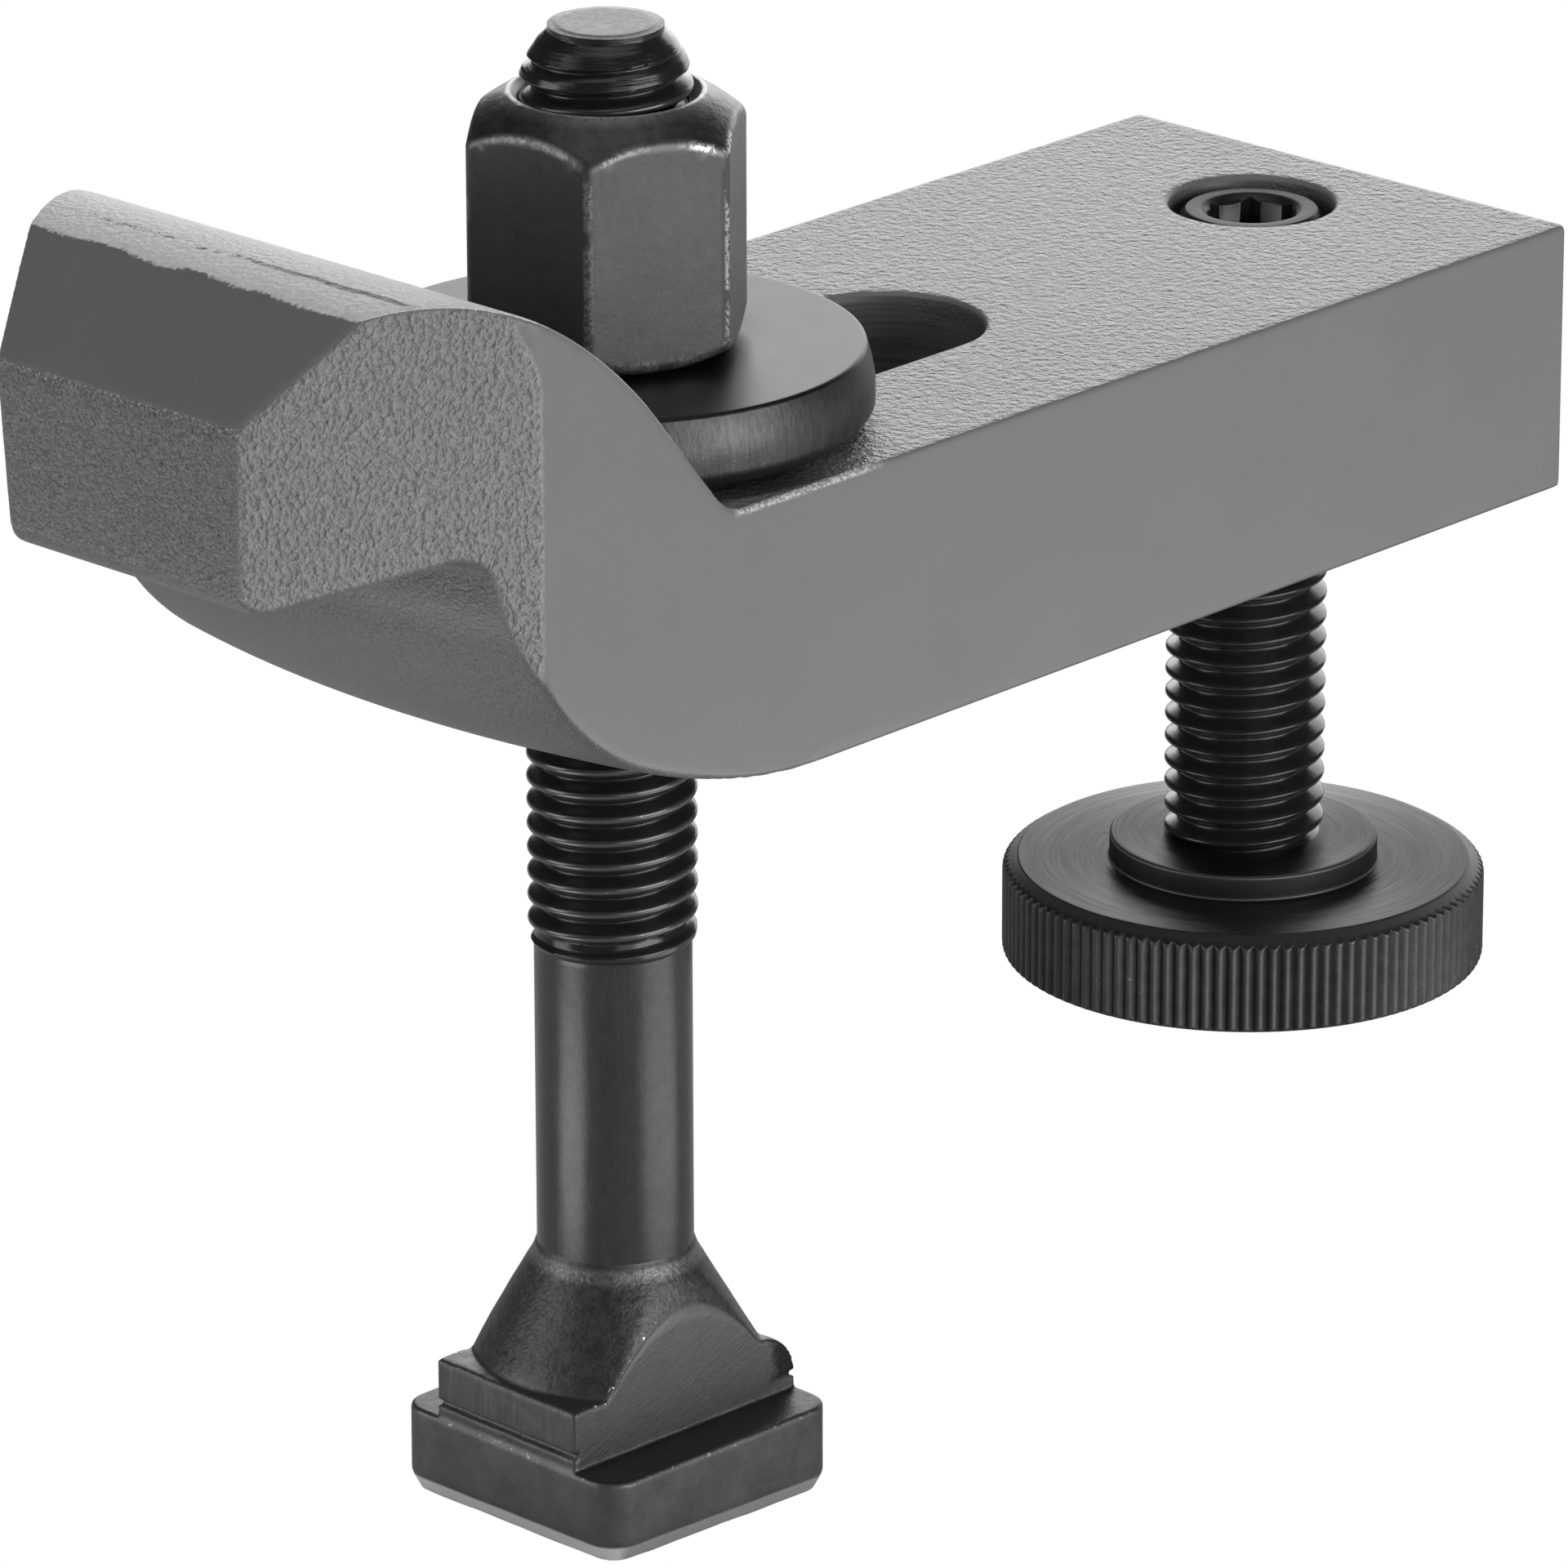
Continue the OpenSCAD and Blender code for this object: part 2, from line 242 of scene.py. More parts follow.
# ---------------------------------------------------------------- materials
class Nodes:
    """A small helper to write a material's nodes."""

    def __init__(self, name):
        self.mat = bpy.data.materials.new(name)
        self.mat.use_nodes = True
        self.t = self.mat.node_tree
        self.t.nodes.clear()
        self.out = self.new("ShaderNodeOutputMaterial")
        self.bsdf = self.new("ShaderNodeBsdfPrincipled")
        self.link(self.bsdf.outputs[0], self.out.inputs[0])
        tc = self.new("ShaderNodeTexCoord")
        self.obj = tc.outputs["Object"]
        self.nrm = tc.outputs["Normal"]
        s = self.new("ShaderNodeSeparateXYZ")
        self.link(self.obj, s.inputs[0])
        self.x, self.y, self.z = s.outputs
        s = self.new("ShaderNodeSeparateXYZ")
        self.link(self.nrm, s.inputs[0])
        self.nx, self.ny, self.nz = s.outputs

    def new(self, kind):
        return self.t.nodes.new(kind)

    def link(self, a, b):
        self.t.links.new(a, b)

    def put(self, value, socket):
        if isinstance(value, bpy.types.NodeSocket):
            self.link(value, socket)
        elif value is not None:
            socket.default_value = value

    def math(self, op, a, b=None, c=None, clamp=False):
        n = self.new("ShaderNodeMath")
        n.operation = op
        n.use_clamp = clamp
        for v, s in zip((a, b, c), n.inputs):
            self.put(v, s)
        return n.outputs[0]

    def add(self, a, b): return self.math("ADD", a, b)
    def sub(self, a, b): return self.math("SUBTRACT", a, b)
    def mul(self, a, b): return self.math("MULTIPLY", a, b)
    def madd(self, a, b, c): return self.math("MULTIPLY_ADD", a, b, c)
    def abs(self, a): return self.math("ABSOLUTE", a)
    def mx(self, a, b): return self.math("MAXIMUM", a, b)
    def mn(self, a, b): return self.math("MINIMUM", a, b)

    def ramp(self, x, lo, hi, a=0.0, b=1.0):
        n = self.new("ShaderNodeMapRange")
        n.interpolation_type = "SMOOTHSTEP"
        self.put(x, n.inputs["Value"])
        for k, v in zip(("From Min", "From Max", "To Min", "To Max"), (lo, hi, a, b)):
            self.put(v, n.inputs[k])
        return n.outputs["Result"]

    def noise(self, size_mm, detail=2.0, rough=0.5, vec=None, stretch=None, distortion=0.0):
        """Noise near 0.5, whose features are about size_mm across."""
        v = self.obj if vec is None else vec
        if stretch is not None:
            m = self.new("ShaderNodeMapping")
            m.inputs["Scale"].default_value = stretch
            self.link(v, m.inputs["Vector"])
            v = m.outputs[0]
        n = self.new("ShaderNodeTexNoise")
        self.link(v, n.inputs["Vector"])
        n.inputs["Scale"].default_value = 1000.0 / size_mm
        n.inputs["Detail"].default_value = detail
        n.inputs["Roughness"].default_value = rough
        n.inputs["Distortion"].default_value = distortion
        return n.outputs["Fac"]

    def cells(self, size_mm, feature="F1", smooth=1.0, vec=None, stretch=None):
        v = self.obj if vec is None else vec
        if stretch is not None:
            m = self.new("ShaderNodeMapping")
            m.inputs["Scale"].default_value = stretch
            self.link(v, m.inputs["Vector"])
            v = m.outputs[0]
        n = self.new("ShaderNodeTexVoronoi")
        n.feature = feature
        self.link(v, n.inputs["Vector"])
        n.inputs["Scale"].default_value = 1000.0 / size_mm
        if feature == "SMOOTH_F1":
            n.inputs["Smoothness"].default_value = smooth
        return n.outputs["Distance"]

    def mix(self, fac, a, b):
        """Mix of two numbers."""
        n = self.new("ShaderNodeMix")
        n.data_type = "FLOAT"
        self.put(fac, n.inputs[0])
        self.put(a, n.inputs[2])
        self.put(b, n.inputs[3])
        return n.outputs[0]

    def grey(self, value):
        c = self.new("ShaderNodeCombineColor")
        for s in c.inputs[:3]:
            self.link(value, s)
        return c.outputs[0]

    def polar(self, cx, cy):
        """Angle and radius (metres) about an upright axis."""
        dx, dy = self.sub(self.x, cx), self.sub(self.y, cy)
        r = self.math("SQRT", self.add(self.mul(dx, dx), self.mul(dy, dy)))
        return self.math("ARCTAN2", dy, dx), r

    def vec(self, x, y, z):
        c = self.new("ShaderNodeCombineXYZ")
        for v, s in zip((x, y, z), c.inputs):
            self.put(v, s)
        return c.outputs[0]

    def bump(self, height, distance_mm, strength=1.0, normal=None):
        n = self.new("ShaderNodeBump")
        self.put(height, n.inputs["Height"])
        n.inputs["Distance"].default_value = distance_mm * MM
        self.put(strength, n.inputs["Strength"])
        if normal is not None:
            self.link(normal, n.inputs["Normal"])
        return n.outputs[0]

    def finish(self, color=None, rough=None, metallic=None, normal=None, ior=None, coat=None, coat_rough=None,
               aniso=None, tangent=None, spec=None):
        i = self.bsdf.inputs
        if color is not None:
            self.link(self.grey(color), i["Base Color"]) if isinstance(color, bpy.types.NodeSocket) else \
                setattr(i["Base Color"], "default_value", (color, color, color, 1))
        self.put(rough, i["Roughness"])
        self.put(metallic, i["Metallic"])
        if normal is not None:
            self.link(normal, i["Normal"])
        if ior is not None:
            i["IOR"].default_value = ior
        if coat is not None:
            i["Coat Weight"].default_value = coat
        if coat_rough is not None:
            i["Coat Roughness"].default_value = coat_rough
        if aniso is not None:
            i["Anisotropic"].default_value = aniso
        if spec is not None:
            i["Specular IOR Level"].default_value = spec
        if tangent is not None:
            self.link(tangent, i["Tangent"])
        return self.mat


def lacquer():
    """Grey lacquer: smooth sides, orange peel on the bar's top, cast grain on the nose."""
    n = Nodes("grey_lacquer")
    ax = n.abs(n.nx)
    fwd = n.mul(n.ny, -1.0)
    down = n.ramp(n.nz, -0.15, -0.40)
    top = n.mul(n.ramp(n.nz, 0.90, 0.985), n.ramp(n.z, 0.0615, 0.0600))
    front = n.mul(n.ramp(fwd, 0.78, 0.94), n.ramp(n.z, 0.0545, 0.0575))
    # the cast cheek of the nose ends in an uneven line on the bar's side
    edge_n = n.noise(0.7, 2.0, 0.5)
    bound = n.madd(n.ramp(n.z, 0.0710, 0.0765), -0.0019, -0.02740)
    to_edge = n.sub(n.add(bound, n.mul(n.sub(edge_n, 0.5), 0.0004)), n.y)
    side = n.ramp(ax, 0.50, 0.72)
    cheek = n.mul(n.mul(side, n.ramp(to_edge, -0.0001, 0.0003)), n.ramp(n.z, 0.0782, 0.0768))
    rim = n.mul(side, n.mul(n.ramp(to_edge, -0.00015, 0.0001), n.ramp(to_edge, 0.0006, 0.0002)))
    # crest: a rough band with a ragged front edge and a thin trimmed flash line along it
    rag = n.noise(0.34, 2.0, 0.6)
    wander = n.noise(4.5, 2.0, 0.5)
    cy = n.add(n.add(n.y, n.mul(n.sub(rag, 0.5), 0.0005)), n.mul(n.sub(wander, 0.5), 0.0009))
    crest = n.mul(n.mul(n.ramp(cy, -0.03865, -0.03840), n.ramp(n.y, -0.0245, -0.0285)),
                  n.mul(n.ramp(n.nz, 0.70, 0.80), n.ramp(n.z, 0.0735, 0.0745)))
    fl = n.abs(n.add(cy, 0.03525))
    broken = n.mx(n.ramp(n.noise(0.45, 2.0, 0.6), 0.50, 0.58), n.ramp(n.x, -0.0010, 0.0060))
    flash = n.mul(n.mul(n.ramp(fl, 0.00042, 0.00014), n.mul(crest, broken)),
                  n.mul(n.ramp(n.add(n.x, n.mul(n.sub(rag, 0.5), 0.02)), -0.0160, -0.0080), n.ramp(n.x, 0.0170, 0.0150)))
    peel = n.noise(0.62, 2.0, 0.55)
    fine = n.noise(0.24, 2.0, 0.6)
    coarse = n.noise(0.40, 1.5, 0.5, distortion=0.1)
    wave = n.noise(3.4, 2.0, 0.5)
    dents = n.ramp(n.noise(0.8, 2.0, 0.5), 0.70, 0.78)
    peel, fine_, coarse_ = n.sub(peel, 0.5), n.sub(fine, 0.5), n.sub(coarse, 0.5)
    h = n.add(n.mul(fine_, 0.006), n.mul(n.sub(wave, 0.5), 0.012))
    h = n.add(h, n.mul(dents, 0.03))
    h = n.mix(top, h, n.add(n.mul(peel, 0.29), n.mul(fine_, 0.12)))
    h = n.mix(cheek, h, n.add(n.mul(coarse_, 0.40), n.mul(fine_, 0.10)))
    h = n.mix(front, h, n.add(n.mul(fine_, 0.36), n.mul(coarse_, 0.18)))
    h = n.mix(down, h, n.add(n.mul(fine_, 0.12), n.mul(coarse_, 0.12)))
    h = n.mix(crest, h, n.add(n.mul(peel, 0.30), n.mul(fine_, 0.12)))
    h = n.add(h, n.mul(rim, 0.05))
    h = n.add(h, n.mul(crest, 0.06))
    h = n.sub(h, n.mul(flash, 0.12))
    bump = n.bump(h, 1.0, 1.0)
    speck = n.sub(n.noise(0.22, 2.0, 0.7), 0.5)
    blotch = n.sub(n.noise(9.0, 3.0, 0.5), 0.5)
    col = n.add(n.mul(blotch, 0.02), 0.202)
    col = n.add(col, n.mul(n.mul(speck, front), 0.50))
    ledge = n.mul(n.mul(n.ramp(n.nz, 0.10, 0.30), n.ramp(n.nz, 0.66, 0.50)), n.ramp(n.y, -0.0444, -0.0452))
    col = n.add(col, n.mul(ledge, n.mul(n.ramp(speck, 0.02, 0.14), 0.30)))
    col = n.add(col, n.mul(n.mul(speck, top), 0.30))
    col = n.add(col, n.mul(front, 0.012))
    col = n.add(col, n.mul(cheek, n.add(n.mul(coarse_, 0.24), 0.062)))
    # painted highlight: a light line along the ridge where the cheek ends
    col = n.add(col, n.mul(rim, 0.05))
    # painted light: the crest band's colour is raised close to white for the light its up-facing top catches, mottled
    # along its ragged edge
    col = n.mn(n.add(col, n.mul(crest, n.add(n.mul(n.sub(rag, 0.5), 0.50), 0.70))), 0.96)
    col = n.mx(n.mix(n.mul(flash, 0.85), col, 0.06), 0.02)
    # machined walls of the slot and of the tapped hole, darker, with cutter marks
    past = n.mx(n.sub(n.y, 0.028), 0.0)
    slot_r = n.math("SQRT", n.add(n.mul(n.x, n.x), n.mul(past, past)))
    inside = n.mul(n.mul(n.ramp(slot_r, 0.00725, 0.00712), n.ramp(n.y, -0.0125, -0.0115)), n.ramp(n.y, 0.0360, 0.0355))
    _, hole_r = n.polar(0.0, SUPPORT_Y * MM)
    dark_walls = n.mul(n.mx(inside, n.mul(n.ramp(hole_r, 0.00625, 0.00610), 0.75)), n.ramp(n.abs(n.nz), 0.55, 0.40))
    marks = n.noise(0.35, 2.0, 0.6, vec=n.vec(n.mul(n.x, 0.02), n.mul(n.y, 0.02), n.z))
    col = n.mix(dark_walls, col, n.add(n.mul(n.sub(marks, 0.5), 0.18), 0.105))
    # painted shade: the faces that look down are darkened
    col = n.mul(col, n.madd(down, -0.45, 1.0))
    # painted shadow and painted reflection of the washer: a dark, glossy ring on the bar's top round the washer's foot,
    # on its near side
    _, bolt_r = n.polar(0.0, 0.0)
    washer_shadow = n.mul(n.mul(top, n.ramp(bolt_r, 0.0206, 0.0196)), n.ramp(n.y, 0.0040, -0.0030))
    col = n.mix(washer_shadow, col, 0.045)
    # painted highlight: a speckled light line along the bar's near top edge beside the washer
    shine = n.mul(n.mul(n.ramp(n.x, 0.02010, 0.02035), n.mul(n.ramp(n.z, 0.0576, 0.0579), n.ramp(n.z, 0.0587, 0.0584))),
                  n.mul(n.ramp(n.y, -0.0094, -0.0086), n.ramp(n.y, 0.0065, 0.0030)))
    col = n.add(col, n.mul(shine, n.ramp(speck, -0.06, 0.06, 0.10, 0.55)))
    rough = n.mix(top, 0.42, 0.29)
    rough = n.mix(washer_shadow, rough, 0.22)
    rough = n.mix(crest, rough, 0.50)
    rough = n.mix(cheek, rough, 0.36)
    return n.finish(color=col, rough=rough, metallic=0.0, normal=bump, ior=1.5)


def hex_dist(n, turn, half):
    """Distance outside the nearest pair of flats of an upright hexagon."""
    out = None
    for k in range(3):
        a = turn + math.radians(30 + 60 * k)
        d = n.abs(n.add(n.mul(n.x, math.cos(a)), n.mul(n.y, math.sin(a))))
        out = d if out is None else n.mx(out, d)
    return n.sub(out, half * MM)


def nut_steel():
    """Blackened nut: even flats, mottled dome, bright specks of wear along the corners, lifted most as a painted
    highlight where the corners face the right-hand lamp and the front.
    """
    n = Nodes("black_steel_nut")
    fine = n.noise(0.24, 3.0, 0.65)
    mid = n.noise(0.9, 3.0, 0.6)
    big = n.noise(4.5, 3.0, 0.5)
    ang, r = n.polar(0.0, 0.0)
    hexd = hex_dist(n, NUT_TURN, 9.0)
    zc = (NUT_TOP - math.sqrt(14.5 ** 2 - 6.6 ** 2)) * MM
    dz = n.sub(n.z, zc)
    dome = n.sub(n.math("SQRT", n.add(n.mul(r, r), n.mul(dz, dz))), 0.0145)
    on_dome = n.mul(n.ramp(dome, -0.00035, -0.0001), n.ramp(hexd, -0.0001, -0.0005))
    corner = n.ramp(r, 0.01014, 0.01028)
    arch = n.mul(n.ramp(dome, -0.00045, -0.00016), n.ramp(hexd, -0.00036, -0.00008))
    # painted highlight: the corner facing the right-hand lamp and the end of the arch above it are lifted most, the
    # corner toward the front less; the specks along every corner are wear
    one = n.ramp(n.math("COSINE", n.sub(ang, NUT_TURN)), 0.955, 0.992)
    front = n.ramp(n.math("COSINE", n.sub(ang, NUT_TURN - math.radians(60))), 0.955, 0.992)
    much = n.mx(n.madd(one, 0.85, 0.15), n.mul(front, 0.30))
    foot = n.mul(n.ramp(n.z, 0.0650, 0.0642), n.ramp(hexd, -0.0012, -0.0004))
    wear_and_highlight = n.mx(n.mul(n.mx(corner, arch), much), n.mul(foot, 0.25))
    speck = n.mul(n.ramp(n.noise(0.30, 2.0, 0.7), 0.42, 0.54), n.ramp(n.noise(2.2, 2.0, 0.5), 0.40, 0.48))
    patch = n.ramp(n.noise(2.2, 2.0, 0.5), 0.42, 0.62)
    ring = n.mul(n.ramp(r, 0.0080, 0.0067), n.ramp(n.z, 0.0795, 0.0805))
    dust = n.ramp(n.noise(0.35, 2.0, 0.6), 0.70, 0.80)
    base = n.add(n.mul(n.sub(mid, 0.5), 0.030), n.add(n.mul(n.sub(big, 0.5), 0.03), 0.098))
    base = n.mix(on_dome, base, n.add(n.mul(n.sub(mid, 0.5), 0.09), 0.050))
    base = n.add(base, n.mul(ring, 0.10))
    lip = n.mul(n.ramp(n.abs(n.sub(r, 0.00672)), 0.00020, 0.00006), n.ramp(n.z, 0.0811, 0.0813))
    base = n.add(base, n.mul(lip, 0.30))
    base = n.add(base, n.mul(dust, 0.03))
    base = n.add(base, n.mul(wear_and_highlight, n.add(n.mul(speck, 0.65), 0.05)))
    base = n.add(base, n.mul(n.mx(corner, arch), n.mul(patch, 0.05)))
    base = n.mx(base, 0.008)
    r_ = n.add(n.mul(n.sub(mid, 0.5), 0.14), n.add(n.mul(n.sub(fine, 0.5), 0.10), 0.37))
    r_ = n.mix(n.mul(wear_and_highlight, speck), r_, 0.28)
    streak = n.noise(0.30, 2.0, 0.6, stretch=(1.0, 1.0, 0.12))
    h = n.add(n.mul(fine, 0.010), n.add(n.mul(mid, 0.016), n.mul(streak, 0.008)))
    h = n.add(h, n.mul(n.mul(on_dome, mid), 0.05))
    return n.finish(color=base, rough=r_, metallic=0.6, normal=n.bump(h, 1.0), ior=1.6)


def thread_steel():
    """Blackened thread and shank: crests painted lighter as a highlight, drawn streaks on the shank, turned end."""
    n = Nodes("black_steel_thread")
    ang, r = n.polar(0.0, 0.0)
    near = n.ramp(n.y, 0.040, 0.038)
    fine = n.noise(0.22, 3.0, 0.65)
    mid = n.noise(1.0, 3.0, 0.6)
    shank = n.mul(near, n.ramp(n.z, 0.0202, 0.0196))
    streak = n.noise(0.22, 3.0, 0.7, stretch=(1.0, 1.0, 0.03))
    crest = n.mul(near, n.mul(n.ramp(r, 0.00580, 0.00594), n.ramp(n.z, 0.0200, 0.0206)))
    end = n.mul(near, n.mul(n.ramp(n.z, 0.08598, 0.08604), n.ramp(n.nz, 0.62, 0.80)))
    cham = n.mul(near, n.mul(n.ramp(n.z, 0.0826, 0.0832), n.sub(1.0, end)))
    lines = n.noise(0.16, 2.0, 0.6, vec=n.vec(n.z, n.mul(ang, 0.0002), 0.0))
    mottle = n.noise(0.55, 3.0, 0.6)
    seat = n.mul(n.mul(n.sub(1.0, near), n.ramp(n.z, 0.0568, 0.0572)), n.ramp(n.nz, 0.6, 0.85))
    crest_glint = n.ramp(n.noise(0.6, 2.0, 0.5, stretch=(0.5, 0.5, 1.6)), 0.70, 0.78)
    base = n.add(n.mul(n.sub(mid, 0.5), 0.03), 0.042)
    # painted highlight: a lighter line along the bolt's thread crests
    base = n.add(base, n.mul(crest, 0.06))
    base = n.add(base, n.mul(end, n.add(n.mul(n.sub(mottle, 0.5), 0.36), 0.24)))
    base = n.mix(shank, base, n.add(n.mul(n.sub(streak, 0.5), 0.028), n.add(n.mul(n.sub(mid, 0.5), 0.035), 0.058)))
    # painted highlight: brighter glints in patches along the crests
    base = n.add(base, n.mul(n.mul(crest_glint, crest), 0.35))
    base = n.mix(seat, base, 0.02)
    base = n.mx(base, 0.008)
    r_ = n.add(n.mul(n.sub(mid, 0.5), 0.08), 0.21)
    r_ = n.mix(shank, r_, n.add(n.mul(n.sub(streak, 0.5), 0.10), 0.27))
    r_ = n.mix(end, r_, 0.46)
    r_ = n.mix(seat, r_, 0.50)
    h = n.add(n.mul(fine, 0.004), n.mul(mid, 0.006))
    h = n.mix(shank, h, n.add(n.mul(streak, 0.0045), n.add(n.mul(mid, 0.014), n.mul(fine, 0.007))))
    h = n.add(h, n.mul(n.mul(lines, cham), 0.05))
    h = n.add(h, n.mul(n.mul(fine, end), 0.05))
    return n.finish(color=base, rough=r_, metallic=0.6, normal=n.bump(h, 1.0), ior=1.6)


def forged_steel():
    """Forged and milled T-head: mottled cone, scratched flats, lower chamfer painted light as a reflection of the
    floor.
    """
    n = Nodes("black_steel_forged")
    c, s = math.cos(HEAD_TURN), math.sin(HEAD_TURN)
    u = n.add(n.mul(n.x, c), n.mul(n.y, s))
    v = n.sub(n.mul(n.y, c), n.mul(n.x, s))
    nu = n.abs(n.add(n.mul(n.nx, c), n.mul(n.ny, s)))
    fine = n.noise(0.24, 3.0, 0.65)
    mid = n.noise(0.75, 3.0, 0.6)
    big = n.noise(3.2, 3.0, 0.5)
    above = n.ramp(n.z, -0.0153, -0.0150)
    milled = n.mul(n.mul(n.ramp(nu, 0.93, 0.98), n.ramp(n.abs(u), 0.00680, 0.00692)), above)
    cone = n.mul(n.mul(n.ramp(n.z, -0.0112, -0.0100), n.sub(1.0, milled)), n.ramp(n.z, -0.0028, -0.0034))
    ring = n.mul(cone, n.mul(n.ramp(n.z, -0.0044, -0.0038), n.ramp(n.z, -0.0029, -0.0033)))
    ledge = n.mul(n.ramp(n.nz, 0.75, 0.9), n.ramp(n.z, -0.0150, -0.0154))
    head = n.mul(n.ramp(n.z, -0.0150, -0.0156), n.sub(1.0, ledge))
    cham = n.mul(n.ramp(n.mul(n.nz, -1.0), 0.20, 0.38), n.ramp(n.z, -0.0196, -0.0200))
    neck = n.mul(n.mul(above, n.sub(1.0, milled)), n.ramp(n.z, -0.0105, -0.0112))
    # scratches run slightly uphill across the milled flat, drawn marks run down the neck's end
    sc = n.vec(n.mul(n.x, 1.0), n.sub(n.mul(n.y, 0.12), n.mul(n.z, 0.05)), n.sub(n.z, n.mul(n.y, 0.35)))
    scratch = n.noise(0.26, 3.0, 0.7, vec=sc)
    drawn = n.noise(0.28, 3.0, 0.7, stretch=(1.0, 1.0, 0.06))
    edge = n.mul(n.ramp(n.z, -0.0160, -0.0156), n.mul(n.ramp(n.z, -0.01535, -0.0155),
                 n.ramp(n.mx(n.abs(u), n.abs(v)), 0.01075, 0.01092)))
    speck = n.ramp(n.noise(0.45, 2.0, 0.6), 0.61, 0.69)
    base = n.add(n.mul(n.sub(mid, 0.5), 0.05), n.add(n.mul(n.sub(big, 0.5), 0.05), 0.078))
    base = n.mix(cone, base, n.add(n.mul(n.sub(mid, 0.5), 0.09), n.add(n.mul(n.sub(fine, 0.5), 0.12), 0.066)))
    base = n.add(base, n.mul(ring, n.add(n.mul(n.sub(fine, 0.5), 0.30), 0.09)))
    base = n.mix(milled, base, n.add(n.mul(n.sub(scratch, 0.5), 0.07), n.add(n.mul(n.sub(fine, 0.5), 0.05), 0.12)))
    base = n.mix(neck, base, n.add(n.mul(n.sub(drawn, 0.5), 0.14), 0.105))
    base = n.mix(ledge, base, 0.05)
    base = n.add(base, n.mul(head, n.add(n.mul(n.sub(big, 0.5), 0.06), 0.045)))
    # painted reflection: the lower chamfer gets a light base, lighter on its faces toward -Y, standing in for the
    # bright floor it reflects
    base = n.mix(cham, base, n.add(n.mul(n.sub(fine, 0.5), 0.20), n.ramp(n.mul(n.ny, -1.0), 0.2, 0.6, 0.45, 0.85)))
    arris = n.mul(n.mul(n.ramp(n.abs(u), 0.00660, 0.00690), n.ramp(nu, 0.96, 0.90)),
                  n.mul(n.ramp(n.z, -0.0128, -0.0118), n.ramp(v, -0.0010, -0.0030)))
    burr = n.mul(n.ramp(n.add(v, n.mul(n.sub(mid, 0.5), 0.003)), 0.0078, 0.0094), n.ramp(n.z, -0.0148, -0.0142))
    base = n.mix(burr, base, n.add(n.mul(n.sub(mid, 0.5), 0.04), 0.008))
    base = n.add(base, n.mul(n.mul(edge, speck), 0.30))
    base = n.add(base, n.mul(n.mul(arris, n.ramp(speck, 0.2, 0.6)), 0.8))
    base = n.mx(base, 0.01)
    r_ = n.add(n.mul(n.sub(mid, 0.5), 0.14), 0.42)
    r_ = n.mix(milled, r_, 0.38)
    r_ = n.mix(cham, r_, 0.55)
    h = n.add(n.mul(fine, 0.020), n.mul(mid, 0.035))
    h = n.mix(cone, h, n.add(n.mul(fine, 0.035), n.mul(mid, 0.09)))
    h = n.mix(milled, h, n.add(n.mul(scratch, 0.020), n.mul(fine, 0.018)))
    h = n.mix(neck, h, n.add(n.mul(drawn, 0.05), n.mul(mid, 0.02)))
    return n.finish(color=base, rough=r_, metallic=0.6, normal=n.bump(h, 1.0), ior=1.6)


def turned(n, cx, cy):
    dx, dy = n.sub(n.x, cx), n.sub(n.y, cy)
    tan = n.vec(n.mul(dy, -1.0), dx, 0.0)
    nv = n.new("ShaderNodeVectorMath")
    nv.operation = "NORMALIZE"
    n.link(tan, nv.inputs[0])
    return nv.outputs[0]


def washer_material():
    """Ground washer: even top with faint marks, dark broken rim, vertical marks on the side."""
    n = Nodes("washer_steel")
    ang, r = n.polar(0.0, 0.0)
    fine = n.noise(0.25, 2.0, 0.6)
    mid = n.noise(1.3, 3.0, 0.55)
    big = n.noise(6.0, 2.0, 0.5)
    top = n.ramp(n.nz, 0.93, 0.99)
    rim = n.mul(n.mul(n.ramp(r, 0.01750, 0.01757), n.ramp(r, 0.01776, 0.01770)), n.mul(n.ramp(n.z, 0.0630, 0.0632), n.ramp(n.noise(0.6, 2.0, 0.6), 0.35, 0.50)))
    side = n.ramp(n.nz, 0.5, 0.2)
    drawn = n.noise(0.30, 3.0, 0.7, stretch=(1.0, 1.0, 0.10))
    rings = n.noise(0.30, 2.0, 0.6, vec=n.vec(r, n.mul(ang, 0.0003), 0.0))
    base = n.add(n.mul(n.sub(mid, 0.5), 0.02), n.add(n.mul(n.sub(big, 0.5), 0.02), 0.022))
    base = n.mix(side, base, n.add(n.mul(n.sub(drawn, 0.5), 0.11), n.add(n.mul(n.sub(mid, 0.5), 0.07), 0.090)))
    base = n.mix(rim, base, 0.02)
    r_ = n.add(n.mul(n.sub(mid, 0.5), 0.05), 0.37)
    r_ = n.mix(side, r_, 0.42)
    h = n.add(n.mul(rings, 0.003), n.mul(fine, 0.003))
    h = n.mix(side, h, n.add(n.mul(drawn, 0.03), n.mul(fine, 0.02)))
    return n.finish(color=base, rough=r_, metallic=0.75, normal=n.bump(h, 1.0), ior=1.6)


